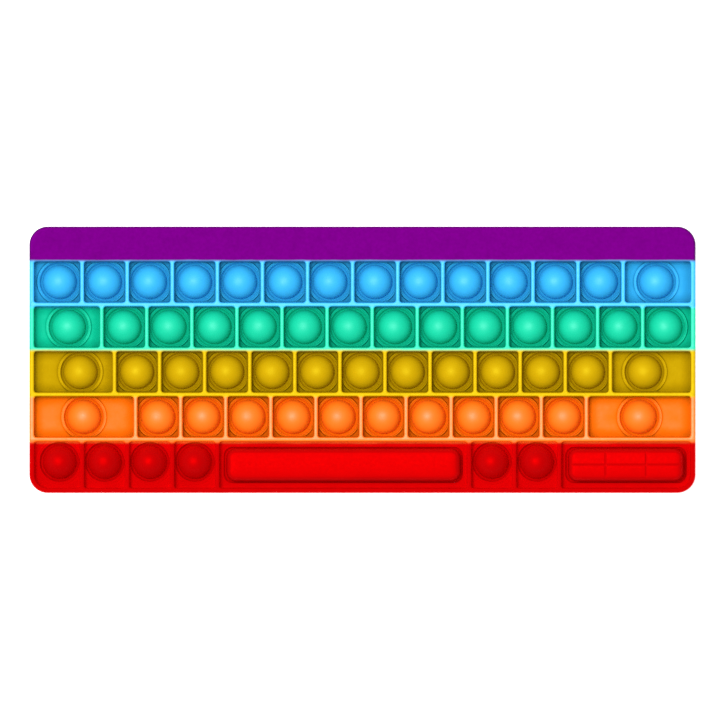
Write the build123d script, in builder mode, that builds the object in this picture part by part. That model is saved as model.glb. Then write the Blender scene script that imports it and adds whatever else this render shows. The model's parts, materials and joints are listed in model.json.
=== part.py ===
"""A push-bubble fidget toy in the shape of a computer keyboard, moulded in silicone.

Six bonded colour bands make one flat tray of wells. Each well has a round hole, and each hole
holds a domed bubble that is pushed through to the back. The bottom row also has a long space bar
and an arrow pad, which push through in the same way.

Frame: the origin is at the centre of the outline, on the flat back. +X runs to the right along
the rows, +Y runs up to the top of the keyboard, and +Z points out of the front. Millimetres.
"""

from build123d import *
import os

# Tray outline
toy_length = 300.0
toy_width = 120.0
corner_round = 8.3
front_edge_round = 0.9
back_edge_round = 0.6

# Heights above the back
floor_top = 3.0
ridge_top = 7.5
hinge_height = 1.5

# Wells and the ridges between them
key_pitch = 20.3
row_pitch = 20.25
ridge_width = 1.8
side_border = 2.2
bottom_border = 2.0
top_row_y = 35.0
blue_ridge_count = 13
green_ridge_count = 13
yellow_ridge_count = 12
orange_ridge_count = 11
red_left_ridge_count = 4
red_right_ridge_count = 3
row_stagger = 4.4
orange_row_shift = -0.65
red_right_ridge_start = 48.1
wide_key_inset = 14.9
yellow_key_inset = 15.35
well_corner_round = 1.0
ridge_round = 0.65

# Bubble: a round shell on a thin hinge web, inside a rim that fits the hole
bubble_radius = 7.7
bubble_wall = 0.95
rim_radius = 8.9
rim_top = 2.9
rim_bottom = 0.7
rim_round = 0.15
hollow_mouth = 7.2
web_round = 0.8
running_gap = 0.05

# Long keys of the bottom row: the space bar and the arrow pad
space_bar_length = 107.6
arrow_pad_length = 54.5
long_key_width = 16.2
long_key_corner = 4.0
long_key_web = 1.1
long_key_top = 8.7
long_key_crown = 0.4
long_key_edge_round = 1.5
long_key_wall = 1.0
long_key_rim_wall = 0.4
long_key_hollow_top = 6.3
web_top = 1.5
arrow_columns = 3
arrow_groove_width = 0.8
arrow_groove_depth = 0.35

# Worked-out sizes and places
hole_radius = rim_radius + running_gap
well_field_half = toy_length / 2 - side_border
well_height = row_pitch - ridge_width
row_y = [top_row_y - row_pitch * n for n in range(5)]
seam_y = [y + row_pitch / 2 for y in row_y]
red_well_top = row_y[4] + well_height / 2
red_well_bottom = bottom_border - toy_width / 2
long_key_y = (red_well_top + red_well_bottom) / 2


def spaced(first, count):
    """Places one key pitch apart, from the first one on."""
    return [first + key_pitch * n for n in range(count)]


def centred(count, shift=0.0):
    """Places one key pitch apart, centred on the toy and then shifted."""
    return spaced(shift - key_pitch * (count - 1) / 2, count)


def well_spans(ridges):
    """Left and right wall of each well in a row, from the ridges that part them."""
    left_walls = [-well_field_half] + [x + ridge_width / 2 for x in ridges]
    right_walls = [x - ridge_width / 2 for x in ridges] + [well_field_half]
    return list(zip(left_walls, right_walls))


def middles(spans):
    """The middle of each well."""
    return [(left + right) / 2 for left, right in spans]


# Centre lines of the upright ridges in each row
blue_ridges = centred(blue_ridge_count, shift=-row_stagger)
green_ridges = centred(green_ridge_count, shift=row_stagger)
yellow_ridges = centred(yellow_ridge_count)
orange_ridges = centred(orange_ridge_count, shift=orange_row_shift)
red_left_ridges = blue_ridges[:red_left_ridge_count]
red_right_ridges = spaced(red_right_ridge_start, red_right_ridge_count)
red_ridges = red_left_ridges + red_right_ridges

# Bubble centres in each row. An ordinary key has its bubble half a pitch from a ridge, and a wide
# key has it a set distance in from its one ridge.
half_pitch = key_pitch / 2
red_middles = middles(well_spans(red_ridges))
blue_bubbles = [x - half_pitch for x in blue_ridges] + [blue_ridges[-1] + wide_key_inset]
green_bubbles = [green_ridges[0] - wide_key_inset] + [x + half_pitch for x in green_ridges]
yellow_bubbles = (
    [yellow_ridges[0] - yellow_key_inset]
    + [x + half_pitch for x in yellow_ridges[:-1]]
    + [yellow_ridges[-1] + yellow_key_inset]
)
orange_bubbles = middles(well_spans(orange_ridges))
red_bubbles = [x - half_pitch for x in red_left_ridges] + [x + half_pitch for x in red_right_ridges[:-1]]
space_bar_x = red_middles[len(red_left_ridges)]
arrow_pad_x = red_middles[-1]


def centres(places, y):
    """Bubble centres of one row as points."""
    return [(x, y) for x in places]


# The plain slab, with its outer edges rounded, that every colour band is a strip of
with BuildPart() as slab:
    with BuildSketch(Plane.XY):
        RectangleRounded(toy_length, toy_width, corner_round)
    extrude(amount=ridge_top)
    fillet(edges().group_by(Axis.Z)[-1], front_edge_round)
    fillet(edges().group_by(Axis.Z)[0], back_edge_round)


def strip(low_y, high_y):
    """The stretch of the slab between two seams, kept by a block that is larger in X and Z."""
    with BuildPart() as part:
        add(slab.part)
        with Locations((0, (low_y + high_y) / 2)):
            Box(2 * toy_length, high_y - low_y, 2 * toy_length, mode=Mode.INTERSECT)
    return part.part


def colour_band(low_y, high_y, well_low, well_high, ridges, bubbles, long_keys=()):
    """One colour of the tray: a strip of the slab with a row of wells and their holes."""
    with BuildPart() as band:
        add(strip(low_y, high_y))
        with BuildSketch(Plane.XY.offset(floor_top)):
            for left, right in well_spans(ridges):
                with Locations(((left + right) / 2, (well_low + well_high) / 2)):
                    RectangleRounded(right - left, well_high - well_low, well_corner_round)
            RectangleRounded(
                2 * well_field_half, -2 * red_well_bottom, corner_round - side_border, mode=Mode.INTERSECT
            )
        extrude(amount=ridge_top - floor_top, mode=Mode.SUBTRACT)
        fillet(edges(Select.LAST).group_by(Axis.Z)[-1], ridge_round)
        with Locations(*bubbles):
            Hole(hole_radius)
        for x, length in long_keys:
            with BuildSketch(Plane.XY):
                with Locations((x, long_key_y)):
                    RectangleRounded(
                        length + 2 * running_gap,
                        long_key_width + 2 * running_gap,
                        long_key_corner + running_gap,
                    )
            extrude(amount=ridge_top, mode=Mode.SUBTRACT)
    return band.part


# One bubble, standing at the origin
with BuildPart() as bubble:
    with BuildSketch(Plane.XZ) as section:
        with BuildLine():
            foot = (0, hinge_height)
            outside = CenterArc(foot, bubble_radius, 0, 90)
            inside = CenterArc(foot, bubble_radius - bubble_wall, 0, 90)
            web = CenterArc((bubble_radius, hinge_height + web_round), web_round, -90, 90)
            Polyline(
                web @ 1,
                (bubble_radius + web_round, rim_top),
                (rim_radius, rim_top),
                (rim_radius, rim_bottom),
                (hollow_mouth, rim_bottom),
                inside @ 0,
            )
            Line(inside @ 1, outside @ 1)
        make_face()
        fillet(section.vertices().group_by(Axis.X)[-1], rim_round)
    revolve(axis=Axis.Z)


def bubble_at(points):
    """Bubbles at one or more places, as one node of separate solids."""
    with BuildPart() as placed:
        with Locations(*points):
            add(bubble.part)
    return placed.part


def long_key(x, length):
    """A long key: a crowned, hollow bar on a thin web, inside a rim that fits its hole."""
    bar_length = length - 2 * long_key_web
    bar_width = long_key_width - 2 * long_key_web
    bar_corner = long_key_corner - long_key_web
    crown_radius = (bar_width / 2) ** 2 / (2 * long_key_crown)
    with BuildPart() as key:
        with BuildSketch(Plane.XY.offset(rim_bottom)):
            RectangleRounded(bar_length, bar_width, bar_corner)
        extrude(amount=long_key_top - rim_bottom)
        with BuildSketch(Plane.YZ) as crown:
            with Locations((0, long_key_top - crown_radius)):
                Circle(crown_radius)
        extrude(amount=length, both=True, mode=Mode.INTERSECT)
        fillet(faces().sort_by(Axis.Z)[-1].edges(), long_key_edge_round)
        with BuildSketch(Plane.XY.offset(rim_bottom)):
            RectangleRounded(length, long_key_width, long_key_corner)
        extrude(amount=rim_top - rim_bottom)
        with BuildSketch(Plane.XY.offset(web_top)):
            RectangleRounded(
                length - 2 * long_key_rim_wall,
                long_key_width - 2 * long_key_rim_wall,
                long_key_corner - long_key_rim_wall,
            )
            RectangleRounded(bar_length, bar_width, bar_corner, mode=Mode.SUBTRACT)
        extrude(amount=rim_top - web_top, mode=Mode.SUBTRACT)
        with BuildSketch(Plane.XY.offset(rim_bottom)):
            RectangleRounded(
                bar_length - 2 * long_key_wall,
                bar_width - 2 * long_key_wall,
                bar_corner - long_key_wall,
            )
        extrude(amount=long_key_hollow_top - rim_bottom, mode=Mode.SUBTRACT)
    with BuildPart() as placed:
        with Locations((x, long_key_y)):
            add(key.part)
    return placed.part


def grooved_pad(pad):
    """The arrow pad: a long key whose top is parted into two rows of three by fine grooves."""
    column = (arrow_pad_length - 2 * long_key_web) / arrow_columns
    with BuildPart() as part:
        add(pad)
        with Locations((arrow_pad_x, long_key_y, long_key_top)):
            Box(arrow_pad_length, arrow_groove_width, 2 * arrow_groove_depth, mode=Mode.SUBTRACT)
        with Locations(
            (arrow_pad_x - column / 2, long_key_y, long_key_top),
            (arrow_pad_x + column / 2, long_key_y, long_key_top),
        ):
            Box(arrow_groove_width, long_key_width, 2 * arrow_groove_depth, mode=Mode.SUBTRACT)
    return part.part


def save(part, name):
    """Labels one finished piece and writes it."""
    part.label = name
    export_step(part, f"parts/{name}.step")


def save_bubbles(points, colour):
    """Writes one node for each bubble of a row, numbered from the left."""
    for number, point in enumerate(points, start=1):
        save(bubble_at([point]), f"{colour}_bubble_{number:02d}")


def save_bubble_pairs(points, colour):
    """Writes a row of bubbles two to a node, numbered from the left."""
    for number in range(len(points) // 2):
        save(bubble_at(points[2 * number : 2 * number + 2]), f"{colour}_bubble_pair_{number + 1}")


os.makedirs("parts", exist_ok=True)

save(strip(seam_y[0], toy_width / 2), "purple_band")
rows = [
    ("blue", blue_ridges, centres(blue_bubbles, row_y[0])),
    ("green", green_ridges, centres(green_bubbles, row_y[1])),
    ("yellow", yellow_ridges, centres(yellow_bubbles, row_y[2])),
    ("orange", orange_ridges, centres(orange_bubbles, row_y[3])),
]
for n, (colour, ridges, bubbles) in enumerate(rows):
    low, high = row_y[n] - well_height / 2, row_y[n] + well_height / 2
    save(colour_band(seam_y[n + 1], seam_y[n], low, high, ridges, bubbles), f"{colour}_band")
long_keys = [(space_bar_x, space_bar_length), (arrow_pad_x, arrow_pad_length)]
red_points = centres(red_bubbles, row_y[4])
save(
    colour_band(-toy_width / 2, seam_y[4], red_well_bottom, red_well_top, red_ridges, red_points, long_keys),
    "red_band",
)
save_bubble_pairs(rows[0][2], "blue")
for colour, ridges, bubbles in rows[1:]:
    save_bubbles(bubbles, colour)
save_bubbles(red_points, "red")
save(long_key(space_bar_x, space_bar_length), "space_bar")
save(grooved_pad(long_key(arrow_pad_x, arrow_pad_length)), "arrow_pad")
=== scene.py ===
"""Looks of the push-bubble keyboard toy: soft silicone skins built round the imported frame.

Shapes are worked out in millimetres from the frame's own boxes and written in metres. Every key
is ringed by rays that run from its middle out to the edge of its cell. Points along the rays make
closed loops, and the loops are joined into one smooth watertight skin for each band and each key.
"""

import functools
import json
import math

import bpy
import numpy as np
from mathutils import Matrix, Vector


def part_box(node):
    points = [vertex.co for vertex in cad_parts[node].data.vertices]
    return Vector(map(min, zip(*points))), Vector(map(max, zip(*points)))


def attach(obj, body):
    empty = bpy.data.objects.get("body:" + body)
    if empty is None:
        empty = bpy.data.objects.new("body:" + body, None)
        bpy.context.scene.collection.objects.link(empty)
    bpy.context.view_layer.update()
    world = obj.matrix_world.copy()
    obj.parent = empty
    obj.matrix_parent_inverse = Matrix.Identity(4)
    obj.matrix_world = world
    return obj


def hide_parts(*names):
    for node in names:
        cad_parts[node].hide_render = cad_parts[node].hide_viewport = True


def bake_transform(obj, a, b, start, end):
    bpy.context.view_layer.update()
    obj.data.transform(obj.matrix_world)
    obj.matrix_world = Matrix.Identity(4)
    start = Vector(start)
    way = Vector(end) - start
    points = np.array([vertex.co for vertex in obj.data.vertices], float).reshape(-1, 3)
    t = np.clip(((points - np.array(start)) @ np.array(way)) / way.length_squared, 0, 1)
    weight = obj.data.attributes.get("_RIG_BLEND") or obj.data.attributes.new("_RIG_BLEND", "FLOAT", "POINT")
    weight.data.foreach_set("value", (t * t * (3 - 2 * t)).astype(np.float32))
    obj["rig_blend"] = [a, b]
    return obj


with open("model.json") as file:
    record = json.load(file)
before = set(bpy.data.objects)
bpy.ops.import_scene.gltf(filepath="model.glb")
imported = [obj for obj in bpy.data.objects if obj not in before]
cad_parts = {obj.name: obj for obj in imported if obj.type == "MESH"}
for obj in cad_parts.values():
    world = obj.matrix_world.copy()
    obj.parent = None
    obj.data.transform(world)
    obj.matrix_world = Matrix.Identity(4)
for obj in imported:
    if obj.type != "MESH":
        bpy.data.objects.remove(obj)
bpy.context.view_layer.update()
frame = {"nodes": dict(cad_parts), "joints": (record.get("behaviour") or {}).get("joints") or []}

MM = 0.001

# Tray sizes that the frame's boxes don't give, in millimetres
FLOOR_TOP = 3.0
RIDGE_WIDTH = 1.8
SIDE_BORDER = 2.2
BOTTOM_BORDER = 2.0
TRAY_CORNER = 8.3
WELL_CORNER = 1.0
FRONT_ROUND = 0.9
BACK_ROUND = 0.6
RIDGE_ROUND = 0.65
RUNNING_GAP = 0.05

# Key sizes
BUBBLE_RADIUS = 7.7
BUBBLE_WALL = 0.95
HINGE_HEIGHT = 1.5
LONG_KEY_CORNER = 4.0
END_WEB = 1.1
SIDE_WEB = 0.65

COLOURS = ["purple", "blue", "green", "yellow", "orange", "red"]


@functools.cache
def box_mm(node):
    """Lowest and highest corner of a frame node, in millimetres."""
    low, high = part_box(node)
    return np.array(low) / MM, np.array(high) / MM


TRAY_HALF_X = box_mm("purple_band")[1][0]
TRAY_HALF_Y = box_mm("purple_band")[1][1]
RIDGE_TOP = box_mm("purple_band")[1][2]
RIM_RADIUS = (box_mm("red_bubble_01")[1][0] - box_mm("red_bubble_01")[0][0]) / 2
HOLE_RADIUS = RIM_RADIUS + RUNNING_GAP
RIM_BOTTOM = box_mm("red_bubble_01")[0][2]
FIELD_HALF_X = TRAY_HALF_X - SIDE_BORDER

# Fine shapes of the skins, in millimetres
WALL_LEAN = 0.25
FLOOR_ROUND = 0.45
COLLAR_STEP = 0.3
COLLAR_WIDTH = 1.32
LIP_WIDTH = 0.2
INNER_LIP = (0.2, 0.2)
OUTER_LIP = (1.15, 0.2)
MOAT_PLACE = 1.52
MOAT_DEPTH = 0.12
LONG_KEY_LIP = (0.16, 0.2)
LIP_BITE = 0.01
HOLE_FLARE = 0.3
SEAT = 0.02
RIM_CHAMFER = 0.2
MOAT_STEEPEST = math.radians(65)
HOLLOW_MOUTH = 0.45
BULGE_START, BULGE_END = math.radians(6), math.radians(31)
LONG_KEY_LEAN = 0.35
LONG_KEY_ROUND = 1.9
LONG_KEY_FOOT_CORNER = 4.4
LONG_KEY_CROWN = 0.4
LONG_KEY_WALL = 1.0
GROOVE_WIDTH = 0.36
LONG_RIM_CHAMFER = 0.15
LONG_RIM_SHARE = 0.99
GROOVE_DEPTH = 0.2
ARROW_COLUMNS = 3

# How finely the skins are divided
BISECTIONS = 40
RAY_SPACING = 1.1
LEAST_STEP = 0.006
ARC_STEPS = 6
MOAT_STEPS = 9
DOME_STEPS = 24
SIDE_STEPS = 8
BUBBLE_SIDES = 64
LONG_KEY_ROWS = 25
TOP_BAND_SHARE = 0.8
BUBBLE_CROWDING = 0.05
GROOVE_CROWDING = 0.12
INSET_CROWDING = 0.04
NEAR_GROOVE = np.array([0.5, 1.0, 1.6, 2.4])
ON_EDGE = 1e-6
WELD_DECIMALS = 5
SHARP_ANGLE = math.radians(38)

QUARTER = np.linspace(0, math.pi / 2, ARC_STEPS)


# ---- distances and rays ----------------------------------------------------------------------

def rounded_distance(points, centre, half, corner):
    """Signed distance from a rounded rectangle, below zero inside it."""
    corner = np.broadcast_to(corner, len(points))
    q = np.abs(points - centre) - half + corner[:, None]
    outside = np.linalg.norm(np.maximum(q, 0), axis=1)
    return outside + np.minimum(q.max(axis=1), 0) - corner


def tray_distance(points):
    """Signed distance from the tray's outline."""
    return rounded_distance(points, 0.0, np.array([TRAY_HALF_X, TRAY_HALF_Y]), TRAY_CORNER)


def along(starts, ends, share):
    """Points part of the way along each ray."""
    return starts + (ends - starts) * np.reshape(share, (-1, 1))


def crossing(starts, ends, distance, target):
    """The share of each ray at which a distance reaches the target, or 1 where it never does."""
    low, high = np.zeros(len(starts)), np.ones(len(starts))
    for _ in range(BISECTIONS):
        middle = (low + high) / 2
        short = distance(along(starts, ends, middle)) < target
        low, high = np.where(short, middle, low), np.where(short, high, middle)
    return high


def smooth_step(value):
    """Rises smoothly from 0 to 1 as the value goes from 0 to 1."""
    value = np.clip(value, 0, 1)
    return value * value * (3 - 2 * value)


def hump(value, place, width):
    """A smooth hump of height 1."""
    return np.exp(-(((value - place) / width) ** 2))


def edge_drop(inset, radius):
    """How far a rounded edge falls at a distance in from it."""
    inset = np.clip(inset, 0, radius)
    return radius - np.sqrt(radius**2 - (radius - inset) ** 2)


def edge_places(low, high, low_outer, high_outer, spacing):
    """Places along one side, closer together in the rounding at an outer end."""
    rounding = FRONT_ROUND * (1 - np.cos(QUARTER))
    start = low + FRONT_ROUND if low_outer else low
    stop = high - FRONT_ROUND if high_outer else high
    places = np.linspace(start, stop, max(2, round((stop - start) / spacing) + 1))
    if low_outer:
        places = np.concatenate([low + rounding[:-1], places])
    if high_outer:
        places = np.concatenate([places, high - rounding[-2::-1]])
    return places


def ring(low, high, xs, ys):
    """Points round a rectangle, anticlockwise from its lowest corner, from places along its sides."""
    bottom = [(x, low[1]) for x in xs[:-1]]
    right = [(high[0], y) for y in ys[:-1]]
    top = [(x, high[1]) for x in xs[:0:-1]]
    left = [(low[0], y) for y in ys[:0:-1]]
    return np.array(bottom + right + top + left)


def trimmed(starts, ends):
    """Ray ends pulled in to the tray's outline where they lie beyond it."""
    outline = crossing(starts, ends, tray_distance, 0.0)
    beyond = tray_distance(ends) > ON_EDGE
    return np.where(beyond[:, None], along(starts, ends, outline), ends)


def skeleton(points, centre, half):
    """The nearest point on the middle line of a long shape, or its centre if the shape is round."""
    reach = max(half[0] - half[1], 0.0)
    xs = np.clip(points[:, 0], centre[0] - reach, centre[0] + reach)
    return np.column_stack([xs, np.full(len(points), centre[1])])


# ---- meshes ----------------------------------------------------------------------------------

class Skin:
    """Gathers strips of quads between closed loops of points, then welds them into one mesh."""

    def __init__(self, name):
        self.name = name
        self.points = []
        self.weights = []
        self.quads = []
        self.count = 0

    def add_strip(self, loops, weights=None, stretches=None):
        """Adds loops of equal length and joins each to the next, along the marked stretches only."""
        loops = np.asarray(loops)
        rows, around = loops.shape[:2]
        weights = np.zeros((rows, around)) if weights is None else weights
        here = np.arange(around)[None, :] + around * np.arange(rows - 1)[:, None] + self.count
        step = (np.roll(np.arange(around), -1) - np.arange(around))[None, :]
        quads = np.stack([here, here + around, here + around + step, here + step], axis=2)
        if stretches is not None:
            quads = quads[:, stretches]
        self.quads.append(quads.reshape(-1, 4))
        self.points.append(loops.reshape(-1, 3))
        self.weights.append(np.asarray(weights).reshape(-1))
        self.count += rows * around

    def build(self):
        """Makes the object. Returns it with one blend weight for each point."""
        points, weights = np.concatenate(self.points), np.concatenate(self.weights)
        keys = np.round(points, WELD_DECIMALS) + 0.0
        _, first, welded = np.unique(keys, axis=0, return_index=True, return_inverse=True)
        quads = welded.reshape(-1)[np.concatenate(self.quads)]
        faces = []
        for quad in quads.tolist():
            corners = [c for n, c in enumerate(quad) if c != quad[n - 1]]
            if len(set(corners)) > 2:
                faces.append(corners)
        mesh = bpy.data.meshes.new(self.name)
        mesh.from_pydata(points[first] * MM, [], faces)
        mesh.validate()
        mesh.shade_smooth()
        mesh.set_sharp_from_angle(angle=SHARP_ANGLE)
        piece = bpy.data.objects.new(self.name, mesh)
        bpy.context.scene.collection.objects.link(piece)
        return piece, weights[first]


# ---- the layout, read from the frame ---------------------------------------------------------

class Key:
    """The hole of one key: a rounded rectangle, or a circle for a bubble."""

    def __init__(self, centre, half, corner):
        self.centre = np.array(centre)
        self.half = np.array(half)
        self.corner = corner
        self.is_bubble = half[0] == half[1]

    def distance(self, points):
        """Signed distance from the hole's edge, below zero inside it."""
        return rounded_distance(points, self.centre, self.half, self.corner)


def bubble_centres(node):
    """Centre of each bubble that a node holds."""
    low, high = box_mm(node)
    y = (low[1] + high[1]) / 2
    if high[0] - low[0] < 3 * RIM_RADIUS:
        return [((low[0] + high[0]) / 2, y)]
    return [(low[0] + RIM_RADIUS, y), (high[0] - RIM_RADIUS, y)]


def bubble_nodes(colour):
    """Names of one colour's bubble nodes, from left to right."""
    return sorted(n for n in frame["nodes"] if n.startswith(f"{colour}_bubble"))


def long_key(node):
    """The hole of a long key."""
    low, high = box_mm(node)
    half = (high - low)[:2] / 2 + RUNNING_GAP
    return Key(((low + high) / 2)[:2], half, LONG_KEY_CORNER + RUNNING_GAP)


def row_keys(colour):
    """Every key of a row, from left to right."""
    centres = [c for node in bubble_nodes(colour) for c in bubble_centres(node)]
    keys = [Key(c, (HOLE_RADIUS, HOLE_RADIUS), HOLE_RADIUS) for c in centres]
    if colour == "red":
        keys += [long_key("space_bar"), long_key("arrow_pad")]
    return sorted(keys, key=lambda k: k.centre[0])


def ridge_lines(keys):
    """Centre lines of the upright ridges: half a pitch to each side of every evenly spaced bubble."""
    xs = np.array([k.centre[0] for k in keys if k.is_bubble])
    steps = np.diff(xs)
    pitch = steps.min()
    even = np.isclose(steps, pitch, atol=0.01)
    ordinary = xs[np.append(even, False) | np.append(False, even)]
    lines = {round(x + side * pitch / 2, 3) for x in ordinary for side in (-1, 1)}
    return sorted(x for x in lines if abs(x) < FIELD_HALF_X - pitch / 4)


class Cell:
    """One key's stretch of a band, out to the middle of the ridges round it or the tray's edge."""

    def __init__(self, low, high, key, is_bottom):
        self.low, self.high, self.key = np.array(low), np.array(high), key
        self.left_outer = low[0] <= -TRAY_HALF_X
        self.right_outer = high[0] >= TRAY_HALF_X
        self.bottom_outer = is_bottom
        left = SIDE_BORDER if self.left_outer else RIDGE_WIDTH / 2
        right = SIDE_BORDER if self.right_outer else RIDGE_WIDTH / 2
        bottom = BOTTOM_BORDER if is_bottom else RIDGE_WIDTH / 2
        self.well_low = self.low + [left, bottom]
        self.well_high = self.high - [right, RIDGE_WIDTH / 2]

    def well_distance(self, points):
        """Signed distance from the well's wall. At the tray's own corners the wall turns wider."""
        centre = (self.well_low + self.well_high) / 2
        side = np.sign(points[:, 0] - centre[0])
        outer = (side < 0) & self.left_outer | (side > 0) & self.right_outer
        wide = outer & self.bottom_outer & (points[:, 1] < centre[1])
        corner = np.where(wide, TRAY_CORNER - SIDE_BORDER, WELL_CORNER)
        return rounded_distance(points, centre, (self.well_high - self.well_low) / 2, corner)


def row_cells(colour):
    """The cells of a row, from left to right."""
    low, high = box_mm(f"{colour}_band")
    keys = row_keys(colour)
    lines = [-TRAY_HALF_X] + ridge_lines(keys) + [TRAY_HALF_X]
    cells = []
    for left, right in zip(lines, lines[1:]):
        key = next(k for k in keys if left < k.centre[0] < right)
        cells.append(Cell((left, low[1]), (right, high[1]), key, colour == "red"))
    return cells


# ---- bands -----------------------------------------------------------------------------------

WELL_DEPTH = RIDGE_TOP - FLOOR_TOP
# A well's wall in section: distances out from the well's edge, and heights above its floor
WALL_PLACES = np.concatenate(
    [
        FLOOR_ROUND * (np.sin(QUARTER) - 1) - WALL_LEAN,
        [-WALL_LEAN / 2],
        RIDGE_ROUND * (1 - np.cos(QUARTER)),
    ]
)
WALL_RISES = np.concatenate(
    [
        FLOOR_ROUND * (1 - np.cos(QUARTER)),
        [(FLOOR_ROUND + WELL_DEPTH - RIDGE_ROUND) / 2],
        WELL_DEPTH - RIDGE_ROUND * (1 - np.sin(QUARTER)),
    ]
)
# Distances out from a hole's edge: close together over the two lips and the moat, wider between
INNER_LIP_PLACES = [0.0, 0.05, 0.11, 0.18, 0.25, 0.34, 0.46, 0.62, 0.8]
OUTER_LIP_PLACES = [0.92, 1.01, 1.1, 1.19, 1.28, 1.38, 1.52, 1.68, 1.9]
COLLAR_PLACES = np.array(INNER_LIP_PLACES + OUTER_LIP_PLACES)
FLOOR_SHARES = (0.33, 0.66)


def collar_rise(gap, key):
    """Height of the collar: two fine lips on a low step round a bubble, one lip round a long key."""
    if not key.is_bubble:
        return LONG_KEY_LIP[1] * hump(gap, LONG_KEY_LIP[0], LIP_WIDTH)
    step = COLLAR_STEP * smooth_step((COLLAR_WIDTH - gap) / LIP_WIDTH / 2)
    inner = INNER_LIP[1] * hump(gap, INNER_LIP[0], LIP_WIDTH)
    outer = OUTER_LIP[1] * hump(gap, OUTER_LIP[0], LIP_WIDTH)
    return step + inner + outer


# Rise of the collar where a key's own skin meets it
INNER_LIP_FOOT = COLLAR_STEP + INNER_LIP[1] * hump(SEAT, INNER_LIP[0], LIP_WIDTH) - LIP_BITE
LONG_LIP_FOOT = LONG_KEY_LIP[1] * hump(SEAT, LONG_KEY_LIP[0], LIP_WIDTH) - LIP_BITE


def front_height(points, cell):
    """Height of the front face: floor, collar, walls, ridges and the tray's rounded edge."""
    wall = np.interp(cell.well_distance(points), WALL_PLACES, WALL_RISES)
    gap = cell.key.distance(points)
    buried = 1 - wall / WELL_DEPTH
    collar = collar_rise(gap, cell.key) * buried
    moat = MOAT_DEPTH * hump(gap, MOAT_PLACE, LIP_WIDTH) * buried * cell.key.is_bubble
    rise = (wall**4 + collar**4) ** 0.25
    return FLOOR_TOP + rise - moat - edge_drop(-tray_distance(points), FRONT_ROUND)


def with_height(points, height):
    """Points on a plane with a height each."""
    return np.column_stack([points, np.broadcast_to(height, len(points))])


def cell_rays(cell):
    """Start and end of the rays of a cell, and which stretches of its edge are outer faces."""
    xs = edge_places(cell.low[0], cell.high[0], cell.left_outer, cell.right_outer, RAY_SPACING)
    ys = edge_places(cell.low[1], cell.high[1], cell.bottom_outer, False, RAY_SPACING)
    ends = ring(cell.low, cell.high, xs, ys)
    open_sides = [True] * (len(xs) - 1) + [cell.right_outer] * (len(ys) - 1)
    open_sides += [True] * (len(xs) - 1) + [cell.left_outer] * (len(ys) - 1)
    starts = skeleton(ends, cell.key.centre, cell.key.half)
    return starts, trimmed(starts, ends), np.array(open_sides)


def edge_shares(starts, ends, last):
    """Shares of each ray down the tray's rounded edge, or spread evenly to the middle of a ridge."""
    at_edge = tray_distance(ends) > -ON_EDGE
    shares = []
    for n, angle in enumerate(QUARTER[::-1], start=1):
        inset = FRONT_ROUND * (1 - math.cos(angle))
        rounded = crossing(starts, ends, tray_distance, -inset)
        even = last + (1 - last) * n / len(QUARTER)
        shares.append(np.where(at_edge, rounded, even))
    shares[-1] = np.ones(len(starts))
    return shares


def front_shares(starts, ends, cell):
    """Shares of each ray for the loops of the front, in order, and the number that round the edge."""
    step = LEAST_STEP / np.linalg.norm(ends - starts, axis=1)
    collar = [crossing(starts, ends, cell.key.distance, gap) for gap in COLLAR_PLACES]
    wall = [crossing(starts, ends, cell.well_distance, place) for place in WALL_PLACES]
    floor = [collar[-1] + (wall[0] - collar[-1]) * share for share in FLOOR_SHARES]
    edge = edge_shares(starts, ends, wall[-1])
    shares = collar + floor + wall + edge
    shares = [np.maximum(s, collar[0] + n * step) for n, s in enumerate(shares)]
    for n in reversed(range(len(shares) - 1)):
        shares[n] = np.minimum(shares[n], shares[n + 1] - step)
    shares[-1] = np.ones(len(starts))
    return shares, len(edge)


def add_cell(skin, cell):
    """Adds the back, the hole's wall, the front and the outer faces of one cell."""
    starts, ends, open_sides = cell_rays(cell)
    shares, at_edge = front_shares(starts, ends, cell)
    loops = []
    for share in reversed(shares[-at_edge:]):
        places = along(starts, ends, share)
        loops.append(with_height(places, edge_drop(-tray_distance(places), BACK_ROUND)))
    for angle in QUARTER[::-1]:
        share = crossing(starts, ends, cell.key.distance, HOLE_FLARE * (1 - math.cos(angle)))
        loops.append(with_height(along(starts, ends, share), HOLE_FLARE * (1 - math.sin(angle))))
    hole = crossing(starts, ends, cell.key.distance, COLLAR_PLACES[0])
    loops.append(with_height(along(starts, ends, hole), HINGE_HEIGHT))
    for share in shares:
        places = along(starts, ends, share)
        loops.append(with_height(places, front_height(places, cell)))
    skin.add_strip(loops)
    skin.add_strip([loops[-1], loops[0]], stretches=open_sides)


def build_band(colour):
    """One colour band as a single skin."""
    skin = Skin(f"{colour}_band_skin")
    for cell in row_cells(colour):
        add_cell(skin, cell)
    return skin.build()[0]


def build_top_band():
    """The plain band along the top: a bar with the tray's rounded corners and edges."""
    low, high = box_mm("purple_band")
    centre, half = ((low + high) / 2)[:2], ((high - low) / 2)[:2]
    xs = edge_places(low[0], high[0], True, True, RAY_SPACING)
    ys = edge_places(low[1], high[1], False, True, RAY_SPACING)
    ends = ring(low, high, xs, ys)
    starts = skeleton(ends, centre, half)
    ends = trimmed(starts, ends)
    flat = np.full(len(ends), TOP_BAND_SHARE)
    shares = [np.zeros(len(ends)), flat] + edge_shares(starts, ends, flat)
    front, back = [], []
    for share in shares:
        places = along(starts, ends, share)
        inset = -tray_distance(places)
        front.append(with_height(places, RIDGE_TOP - edge_drop(inset, FRONT_ROUND)))
        back.append(with_height(places, edge_drop(inset, BACK_ROUND)))
    skin = Skin("purple_band_skin")
    skin.add_strip(front)
    skin.add_strip(back[::-1])
    skin.add_strip([front[-1], back[-1]])
    return skin.build()[0]


# ---- keys ------------------------------------------------------------------------------------

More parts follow.
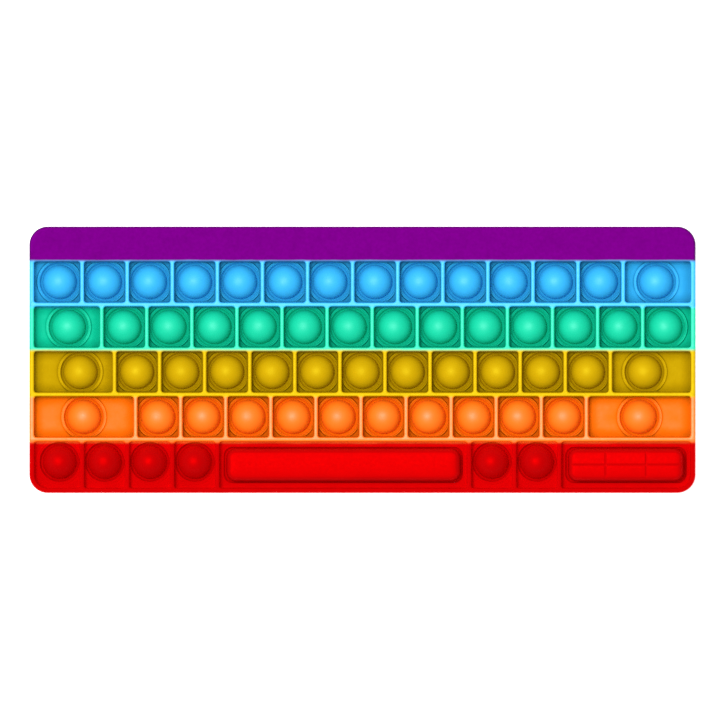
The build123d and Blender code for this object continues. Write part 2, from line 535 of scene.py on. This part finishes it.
HOLLOW_RADIUS = BUBBLE_RADIUS - BUBBLE_WALL
DOME_ANGLES = np.linspace(0, math.pi / 2, DOME_STEPS)
SIDE_ANGLES = np.linspace(0, math.pi / 3, SIDE_STEPS)


def travel_of(body):
    """How far a key's crown travels when it is pushed through, in millimetres."""
    joint = next(j for j in frame["joints"] if j["child"] == body)
    return -joint["range_m"][0] / MM


def merged(values, least):
    """Sorted values with any that crowd the one before left out."""
    kept = []
    for value in sorted(values):
        if not kept or value - kept[-1] > least:
            kept.append(value)
    return np.array(kept)


def moat_curve(rise):
    """The hollow sweep round a key's foot: shares of the way out, and heights above the hinge."""
    angles = np.linspace(0, MOAT_STEEPEST, MOAT_STEPS)[1:]
    climb = FLOOR_TOP + rise - HINGE_HEIGHT
    ups = climb * (1 - np.cos(angles)) / (1 - math.cos(MOAT_STEEPEST))
    return list(zip(np.sin(angles) / math.sin(MOAT_STEEPEST), ups))


def sphere_rise(radius, places):
    """Height of a sphere above its middle at each distance from its axis, or 0 beyond it."""
    return np.sqrt(np.maximum(radius**2 - places**2, 0))


def ledge_height(mouth):
    """Height of the ledge below a key's web, which climbs to the hinge across the hollow's mouth."""
    return RIM_BOTTOM + (HINGE_HEIGHT - RIM_BOTTOM) * np.clip(mouth, 0, 1)


def bubble_profile(travel):
    """Radius, height and blend weight of each loop of a bubble, from its crown round to its hollow.

    Pushed through, the outer face becomes a cup with the hollow's radius and the hollow becomes
    a dome with the outer face's radius, and the weights carry each point to its new height.
    """
    return dome_rows(travel) + rim_rows() + hollow_rows(travel)


def dome_rows(travel):
    """The dome, from its crown to its foot."""
    radii = np.concatenate([BUBBLE_RADIUS * np.sin(DOME_ANGLES), HOLLOW_RADIUS * np.cos(SIDE_ANGLES)])
    radii = merged(radii, BUBBLE_CROWDING)
    radii[-1] = BUBBLE_RADIUS
    dome = HINGE_HEIGHT + np.sqrt(BUBBLE_RADIUS**2 - radii**2)
    cup = HINGE_HEIGHT - sphere_rise(HOLLOW_RADIUS, radii)
    return list(zip(radii, dome, (dome - cup) / travel))


def rim_rows():
    """The moat and the rim, which stay with the tray."""
    outer = HOLE_RADIUS + SEAT
    rows = []
    for out, up in moat_curve(INNER_LIP_FOOT):
        rows.append((BUBBLE_RADIUS + (outer - BUBBLE_RADIUS) * out, HINGE_HEIGHT + up, 0.0))
    rows.append((outer, RIM_BOTTOM + RIM_CHAMFER, 0.0))
    rows.append((outer - RIM_CHAMFER, RIM_BOTTOM, 0.0))
    return rows


def hollow_rows(travel):
    """The ledge round the hollow's mouth, then the hollow up to its top."""
    mouth_radius = HOLLOW_RADIUS + HOLLOW_MOUTH
    bulge_angles = np.linspace(BULGE_START, BULGE_END, SIDE_STEPS)
    hollow_radii = HOLLOW_RADIUS * np.sin(DOME_ANGLES)
    bulge_radii = BUBBLE_RADIUS * np.cos(bulge_angles)
    radii = np.concatenate([hollow_radii, [mouth_radius], bulge_radii])
    radii = merged(radii, BUBBLE_CROWDING)[::-1]
    ledge = ledge_height((mouth_radius - radii) / HOLLOW_MOUTH)
    hollow = HINGE_HEIGHT + sphere_rise(HOLLOW_RADIUS, radii)
    rest = np.where(radii < HOLLOW_RADIUS, hollow, ledge)
    bulge = np.minimum(HINGE_HEIGHT - sphere_rise(BUBBLE_RADIUS, radii), RIM_BOTTOM)
    return list(zip(radii, rest, (rest - bulge) / travel))


def add_bubble(skin, centre, travel):
    """Adds one bubble: dome, moat, rim and hollow."""
    angles = np.linspace(0, 2 * math.pi, BUBBLE_SIDES, endpoint=False)
    circle = np.column_stack([np.cos(angles), np.sin(angles)])
    loops, weights = [], []
    for radius, height, weight in bubble_profile(travel):
        loops.append(with_height(circle * radius + centre, height))
        weights.append(np.full(BUBBLE_SIDES, weight))
    skin.add_strip(loops, weights)


def bar_height(inset, across):
    """Height of a long key's face above the hinge, at a distance in from its foot."""
    full = box_mm("space_bar")[1][2] - HINGE_HEIGHT - LONG_KEY_CROWN
    flank = np.interp(inset, [0, LONG_KEY_LEAN], [0, full - LONG_KEY_ROUND])
    turn = np.clip(inset - LONG_KEY_LEAN, 0, LONG_KEY_ROUND)
    rounding = np.sqrt(LONG_KEY_ROUND**2 - (LONG_KEY_ROUND - turn) ** 2)
    crown = LONG_KEY_CROWN * (1 - across**2) * smooth_step(inset / (2 * LONG_KEY_ROUND))
    return flank + rounding + crown


def groove_drop(places, key, inset, columns):
    """Depth of the fine grooves: one along the arrow pad and two across it."""
    if not columns:
        return np.zeros(len(places))
    offset = places - key.centre
    pitch = 2 * key.half[0] / columns
    lines = hump(offset[:, 1], 0, GROOVE_WIDTH)
    for side in (-0.5, 0.5):
        lines = np.maximum(lines, hump(offset[:, 0], side * pitch, GROOVE_WIDTH))
    return GROOVE_DEPTH * lines * smooth_step((inset - LONG_KEY_ROUND / 2) / LONG_KEY_ROUND)


def crowded(places, lines):
    """Places with extra ones close to each line."""
    near = GROOVE_WIDTH * np.concatenate([-NEAR_GROOVE[::-1], [0.0], NEAR_GROOVE])
    extra = np.concatenate([line + near for line in lines]) if len(lines) else np.array([])
    return merged(np.concatenate([places, extra]), GROOVE_CROWDING)


class LongKey:
    """The space bar or the arrow pad: a crowned hollow bar on a web, with a rim that fills its hole."""

    def __init__(self, node, columns):
        self.key = long_key(node)
        self.columns = columns
        self.travel = travel_of(node)
        self.rim = self.key.half + SEAT
        self.foot = self.rim - [END_WEB, SIDE_WEB]
        self.starts, self.ends = self.rays()
        self.loops = []
        self.weights = []

    def foot_distance(self, points):
        """Signed distance from the bar's foot."""
        return rounded_distance(points, self.key.centre, self.foot, LONG_KEY_FOOT_CORNER)

    def rim_distance(self, points):
        """Signed distance from the rim's outer edge."""
        return rounded_distance(points, self.key.centre, self.rim, self.key.corner)

    def rays(self):
        """Start and end of the rays, from the middle line out to the rim."""
        centre, rim = self.key.centre, self.rim
        low, high = centre - rim, centre + rim
        half_pitch = self.key.half[0] / self.columns if self.columns else 0
        groove_xs = [centre[0] - half_pitch, centre[0] + half_pitch] if self.columns else []
        groove_ys = [centre[1]] if self.columns else []
        across = round(2 * rim[0] / RAY_SPACING)
        xs = crowded(np.linspace(low[0], high[0], across), groove_xs)
        ys = crowded(np.linspace(low[1], high[1], LONG_KEY_ROWS), groove_ys)
        xs[-1], ys[-1] = high
        ends = ring(low, high, xs, ys)
        starts = skeleton(ends, centre, self.foot)
        return starts, along(starts, ends, crossing(starts, ends, self.rim_distance, 0.0))

    def shares(self):
        """Shares of each ray from the middle line out to the foot."""
        turn = LONG_KEY_LEAN + LONG_KEY_ROUND * (1 - np.cos(QUARTER))
        lean = LONG_KEY_LEAN * np.array([0.0, 0.3, 0.65])
        middle = self.foot[1] - GROOVE_WIDTH * np.array([*NEAR_GROOVE, 4.0, 7.0])
        insets = [lean, turn, LONG_KEY_WALL + lean, LONG_KEY_WALL + turn, middle]
        insets = merged(np.concatenate(insets), INSET_CROWDING)
        inner = [crossing(self.starts, self.ends, self.foot_distance, -i) for i in insets[::-1]]
        return [np.zeros(len(self.ends))] + inner

    def faces(self, places):
        """Distances in from the foot, and heights of the outer face and the hollow above the hinge."""
        inset = np.maximum(-self.foot_distance(places), 0)
        across = np.clip((places[:, 1] - self.key.centre[1]) / self.foot[1], -1, 1)
        outer = bar_height(inset, across)
        hollow = np.maximum(bar_height(inset - LONG_KEY_WALL, across) - LONG_KEY_WALL, 0)
        return inset, outer, hollow * (inset > LONG_KEY_WALL)

    def add_loop(self, share, height, weight):
        """Adds one loop at a share of the rays."""
        self.loops.append(with_height(along(self.starts, self.ends, share), height))
        self.weights.append(np.broadcast_to(weight, len(self.ends)))

    def add_top(self, share):
        """Adds a loop of the outer face."""
        places = along(self.starts, self.ends, share)
        inset, outer, hollow = self.faces(places)
        groove = groove_drop(places, self.key, inset, self.columns)
        self.add_loop(share, HINGE_HEIGHT + outer - groove, (outer + hollow) / self.travel)

    def add_rim(self, foot_share):
        """Adds the moat and the rim, which stay with the tray."""
        for out, up in moat_curve(LONG_LIP_FOOT):
            self.add_loop(foot_share + (1 - foot_share) * out, HINGE_HEIGHT + up, 0.0)
        self.add_loop(np.ones(len(self.ends)), RIM_BOTTOM + LONG_RIM_CHAMFER, 0.0)
        self.add_loop(LONG_RIM_SHARE, RIM_BOTTOM, 0.0)

    def add_hollow(self, share):
        """Adds a loop of the ledge or the hollow."""
        inset, outer, hollow = self.faces(along(self.starts, self.ends, share))
        ledge = ledge_height((inset - LONG_KEY_WALL + HOLLOW_MOUTH) / HOLLOW_MOUTH)
        rest = np.where(inset > LONG_KEY_WALL, HINGE_HEIGHT + hollow, ledge)
        pushed = np.minimum(HINGE_HEIGHT - outer, RIM_BOTTOM)
        self.add_loop(share, rest, (rest - pushed) / self.travel)


def build_long_key(node, columns):
    """The skin of the space bar or the arrow pad, from its crown round to its hollow."""
    bar = LongKey(node, columns)
    shares = bar.shares()
    for share in shares:
        bar.add_top(share)
    bar.add_rim(shares[-1])
    for share in shares[::-1]:
        bar.add_hollow(share)
    skin = Skin(f"{node}_skin")
    skin.add_strip(bar.loops, bar.weights)
    return skin.build()


def bend_key(piece, weights, node):
    """Lets a key turn inside out: its rim stays with the tray and its crown follows its joint."""
    low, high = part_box(node)
    middle = ((low[0] + high[0]) / 2, (low[1] + high[1]) / 2)
    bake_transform(piece, "tray", node, start=(*middle, HINGE_HEIGHT * MM), end=(*middle, high[2]))
    attribute = piece.data.attributes["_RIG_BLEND"]
    attribute.data.foreach_set("value", weights.astype(np.float32))


def build_bubbles(node):
    """The bubbles of one node as a single skin."""
    skin = Skin(f"{node}_skin")
    for centre in bubble_centres(node):
        add_bubble(skin, centre, travel_of(node))
    return skin.build()


# ---- materials -------------------------------------------------------------------------------

# How far below the seam each colour starts, because the colour above often takes the whole ridge
COLOUR_STOPS = {"blue": 0.35, "green": 1.1, "yellow": 0.0, "orange": 0.9, "red": 1.1}
BLEED = 0.6
SWIRL = 0.6

# Noise: scale and detail
SWIRL_NOISE = (90.0, 2.0)
MOTTLE_NOISE = (160.0, 4.0)
SHINE_NOISE = (700.0, 3.0)
GRAIN_NOISE = (4200.0, 3.0)
NOISE_RANGE = (0.3, 0.7)
MOTTLE = 0.03
SHINE_SPREAD = 0.04
GRAIN_STRENGTH = 0.25
GRAIN_DEPTH = 0.02

# Painted shade of the wells, darkest in their corners, and of the keys' feet, with the heights where it ends
WELL_SHADE = 0.75
WELL_SHADE_TOP = 3.65
NOOK_SAMPLES = 6
NOOK_REACH = 5.0
NOOK_POWER = 0.85
MOAT_SHADE = 0.55
MOAT_SHADE_TOP = 3.4
KEY_SHADE = 0.9

# Painted shade on the red row's flats and painted light on its steep sides
RED_BAND_SHADE = 0.8
RED_WALL_SHADE = 1.45
RED_KEY_SHADE = 0.73
RED_KEY_SIDE_SHADE = 0.98
STEEP = 0.3

# Shine
ROUGHNESS = 0.5
RED_KEY_ROUGHNESS = 0.46
GLOSS = 0.62
RED_KEY_GLOSS = 0.85
BAND_GLOSS_FROM = 0.72
KEY_GLOSS_FROM = 0.65
BASE = {
    "purple": (0.076, 0.0002, 0.095),
    "blue": (0.030, 0.40, 0.80),
    "green": (0.004, 0.55, 0.31),
    "yellow": (0.50, 0.305, 0.001),
    "orange": (1.0, 0.170, 0.003),
    "red": (0.48, 0.0004, 0.001),
}
SHEEN = {
    "purple": (0.5, 0.0, 0.62),
    "blue": (0.6, 1.0, 1.0),
    "green": (0.5, 0.9, 1.0),
    "yellow": (1.0, 1.0, 0.05),
    "orange": (1.0, 1.0, 1.0),
    "red": (1.0, 0.0, 0.0),
}


def link(tree, source, target):
    """Joins an output to an input."""
    tree.links.new(source, target)


def rainbow_ramp(tree, height, colours):
    """A colour ramp up the toy, with a soft bleed where one poured colour meets the next."""
    ramp = tree.nodes.new("ShaderNodeValToRGB")
    elements = ramp.color_ramp.elements
    elements[0].color = (*colours["red"], 1)
    elements[1].color = (*colours["purple"], 1)
    for upper, lower in zip(COLOURS, COLOURS[1:]):
        seam = box_mm(f"{lower}_band")[1][1] - COLOUR_STOPS[lower]
        for y, colour in ((seam + BLEED, upper), (seam - BLEED, lower)):
            element = elements.new((y + TRAY_HALF_Y) / (2 * TRAY_HALF_Y))
            element.color = (*colours[colour], 1)
    link(tree, height, ramp.inputs["Fac"])
    return ramp.outputs["Color"]


def noise(tree, place, kind):
    """Smooth noise of a given scale and detail."""
    node = tree.nodes.new("ShaderNodeTexNoise")
    node.inputs["Scale"].default_value, node.inputs["Detail"].default_value = kind
    link(tree, place, node.inputs["Vector"])
    return node.outputs["Fac"]


def map_range(tree, value, source, target):
    """Carries a value from one range to another, held at the ends."""
    node = tree.nodes.new("ShaderNodeMapRange")
    names = ("From Min", "From Max", "To Min", "To Max")
    for name, number in zip(names, (*source, *target)):
        node.inputs[name].default_value = number
    link(tree, value, node.inputs["Value"])
    return node.outputs["Result"]


def arithmetic(tree, operation, *terms):
    """A sum, product or other operation on outputs and plain numbers."""
    node = tree.nodes.new("ShaderNodeMath")
    node.operation = operation
    for term, socket in zip(terms, node.inputs):
        if isinstance(term, float):
            socket.default_value = term
        else:
            link(tree, term, socket)
    return node.outputs[0]


def split(tree, vector):
    """The X, Y and Z of a vector."""
    node = tree.nodes.new("ShaderNodeSeparateXYZ")
    link(tree, vector, node.inputs[0])
    return node.outputs


def well_shade(tree, z):
    """Painted shade: the wells are painted darker than the ridges and the collar lips, most of all in their
    corners, where shadow falls.
    """
    deep = map_range(tree, z, (FLOOR_TOP * MM, WELL_SHADE_TOP * MM), (WELL_SHADE, 1.0))
    # Painted corner shadow, taken from an occlusion node
    nook = tree.nodes.new("ShaderNodeAmbientOcclusion")
    nook.samples = NOOK_SAMPLES
    nook.inputs["Distance"].default_value = NOOK_REACH * MM
    soft = arithmetic(tree, "POWER", nook.outputs["AO"], NOOK_POWER)
    return arithmetic(tree, "MULTIPLY", deep, soft)


def moat_shade(tree, z):
    """Painted shade: a key is painted darker towards the moat round its foot, where shade falls."""
    return map_range(tree, z, (HINGE_HEIGHT * MM, MOAT_SHADE_TOP * MM), (MOAT_SHADE, KEY_SHADE))


def slope_shade(tree, steep_shade, flat_shade):
    """Painted light: the red row's steep sides are painted lighter and its flats darker, so the steep sides
    look hardly darker than the flats.
    """
    normal = tree.nodes.new("ShaderNodeNewGeometry").outputs["Normal"]
    level = arithmetic(tree, "ABSOLUTE", split(tree, normal)["Z"])
    return map_range(tree, level, (STEEP, 1.0), (steep_shade, flat_shade))


def painted_shade_and_mottle(tree, place, z, is_red, is_key):
    """Painted shade over the silicone's colour at each place, painted light on the red row's steep sides,
    and faint mottling.
    """
    if is_red and is_key:
        shade = slope_shade(tree, RED_KEY_SIDE_SHADE, RED_KEY_SHADE)
    elif is_red:
        shade = slope_shade(tree, RED_WALL_SHADE, RED_BAND_SHADE)
    elif is_key:
        shade = moat_shade(tree, z)
    else:
        shade = well_shade(tree, z)
    mottle = map_range(tree, noise(tree, place, MOTTLE_NOISE), NOISE_RANGE, (1 - MOTTLE, 1 + MOTTLE))
    return arithmetic(tree, "MULTIPLY", mottle, shade)


def add_gloss(tree, shader, shade, is_red, is_key):
    """Tops catch a soft sheen, and places painted in shade hardly any, so the painted shade also dims the
    sheen.
    """
    level = shader.inputs["Specular IOR Level"]
    if is_red and is_key:
        level.default_value = RED_KEY_GLOSS
    else:
        dullest = KEY_GLOSS_FROM if is_key else BAND_GLOSS_FROM
        link(tree, map_range(tree, shade, (dullest, 1.0), (0.0, GLOSS)), level)


def add_grain(tree, shader, place, roughness):
    """Uneven shine and a fine moulded grain."""
    spread = (roughness - SHINE_SPREAD, roughness + SHINE_SPREAD)
    shine = map_range(tree, noise(tree, place, SHINE_NOISE), NOISE_RANGE, spread)
    link(tree, shine, shader.inputs["Roughness"])
    bump = tree.nodes.new("ShaderNodeBump")
    bump.inputs["Strength"].default_value = GRAIN_STRENGTH
    bump.inputs["Distance"].default_value = GRAIN_DEPTH * MM
    link(tree, noise(tree, place, GRAIN_NOISE), bump.inputs["Height"])
    link(tree, bump.outputs["Normal"], shader.inputs["Normal"])


def silicone(name, is_red, is_key):
    """Satin silicone: poured rainbow colour with painted shade (painted light on the red row's steep sides),
    faint mottling, a fine moulded grain and a soft sheen.
    """
    material = bpy.data.materials.new(name)
    material.use_nodes = True
    tree = material.node_tree
    shader = tree.nodes["Principled BSDF"]
    place = tree.nodes.new("ShaderNodeTexCoord").outputs["Object"]
    parts = split(tree, place)
    wavy = arithmetic(tree, "MULTIPLY_ADD", noise(tree, place, SWIRL_NOISE), SWIRL * MM, parts["Y"])
    height = map_range(tree, wavy, (-TRAY_HALF_Y * MM, TRAY_HALF_Y * MM), (0.0, 1.0))
    link(tree, rainbow_ramp(tree, height, SHEEN), shader.inputs["Specular Tint"])
    # Painted shade and light with mottling: it scales the base colour and sets the gloss
    shade = painted_shade_and_mottle(tree, place, parts["Z"], is_red, is_key)
    shaded = tree.nodes.new("ShaderNodeVectorMath")
    shaded.operation = "SCALE"
    link(tree, rainbow_ramp(tree, height, BASE), shaded.inputs[0])
    link(tree, shade, shaded.inputs["Scale"])
    link(tree, shaded.outputs[0], shader.inputs["Base Color"])
    add_gloss(tree, shader, shade, is_red, is_key)
    add_grain(tree, shader, place, RED_KEY_ROUGHNESS if is_red and is_key else ROUGHNESS)
    return material


# ---- build -----------------------------------------------------------------------------------

@functools.cache
def material_for(colour, is_key):
    """One material for the band of a colour, and one for its keys."""
    name = f"{colour}_key_silicone" if is_key else f"{colour}_silicone"
    return silicone(name, colour == "red", is_key)


def dress(piece, colour, node):
    """Gives a skin its silicone and lets it stand for its frame node."""
    piece.data.materials.append(material_for(colour, not node.endswith("band")))
    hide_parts(node)


def build_key(piece, weights, colour, node):
    """Finishes the skin of a key."""
    dress(piece, colour, node)
    bend_key(piece, weights, node)


def build_toy():
    """Every band with its bubbles, from the top down, then the two long keys."""
    for colour in COLOURS:
        band = build_top_band() if colour == "purple" else build_band(colour)
        dress(band, colour, f"{colour}_band")
        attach(band, "tray")
        for node in bubble_nodes(colour):
            build_key(*build_bubbles(node), colour, node)
    for node, groove_columns in (("space_bar", 0), ("arrow_pad", ARROW_COLUMNS)):
        build_key(*build_long_key(node, groove_columns), "red", node)


build_toy()


# ---- stage -----------------------------------------------------------------------------------

FLOOR_REACH = 3000.0
RECESS_INSET = 4.0
RECESS_DEPTH = 12.0
PAPER = (0.93, 0.93, 0.93, 1)
PAPER_ROUGHNESS = 0.9
PAPER_GLOSS = 0.1
PAPER_GLOW = 0.6
WHITE = (1, 1, 1, 1)
KEY_LIGHT = 4.6
KEY_LIGHT_ANGLE = math.radians(34)
KEY_LIGHT_DIRECTION = (0.18, -0.11, -1.0)
SURROUND = 0.3
VIEW_WIDTH = 324.2
VIEW_CENTRE = (-1.08, -0.13)
VIEW_HEIGHT = 800.0


def build_floor():
    """A pale floor with a recess under the toy, so that pushed bubbles have room below the back."""
    half = np.array([TRAY_HALF_X, TRAY_HALF_Y]) - RECESS_INSET
    square = np.array([(-1, -1), (1, -1), (1, 1), (-1, 1)])
    loops = [
        with_height(square * 0.0, -RECESS_DEPTH),
        with_height(square * half, -RECESS_DEPTH),
        with_height(square * half, 0.0),
        with_height(square * FLOOR_REACH, 0.0),
    ]
    skin = Skin("floor")
    skin.add_strip(loops)
    floor = skin.build()[0]
    floor.data.shade_flat()
    floor.data.materials.append(studio_paper())


def studio_paper():
    """Pale matt paper that glows a little."""
    material = bpy.data.materials.new("studio_paper")
    material.use_nodes = True
    shader = material.node_tree.nodes["Principled BSDF"]
    shader.inputs["Base Color"].default_value = PAPER
    shader.inputs["Roughness"].default_value = PAPER_ROUGHNESS
    shader.inputs["Specular IOR Level"].default_value = PAPER_GLOSS
    shader.inputs["Emission Color"].default_value = WHITE
    shader.inputs["Emission Strength"].default_value = PAPER_GLOW
    return material


def build_lights():
    """A broad soft key from the upper left and an even pale surround."""
    sun = bpy.data.lights.new("key_light", "SUN")
    sun.energy = KEY_LIGHT
    sun.angle = KEY_LIGHT_ANGLE
    lamp = bpy.data.objects.new("key_light", sun)
    lamp.rotation_euler = Vector(KEY_LIGHT_DIRECTION).to_track_quat("-Z", "Y").to_euler()
    bpy.context.scene.collection.objects.link(lamp)
    world = bpy.data.worlds.new("surround")
    world.use_nodes = True
    background = world.node_tree.nodes["Background"]
    background.inputs["Color"].default_value = WHITE
    background.inputs["Strength"].default_value = SURROUND
    bpy.context.scene.world = world


def build_camera():
    """Looks straight down, as flat as a scan, with the toy nearly filling the width."""
    camera = bpy.data.cameras.new("camera")
    camera.type = "ORTHO"
    camera.ortho_scale = VIEW_WIDTH * MM
    view = bpy.data.objects.new("camera", camera)
    view.location = Vector((*VIEW_CENTRE, VIEW_HEIGHT)) * MM
    bpy.context.scene.collection.objects.link(view)
    bpy.context.scene.camera = view


build_floor()
build_lights()
build_camera()
bpy.context.scene.view_settings.view_transform = "Standard"
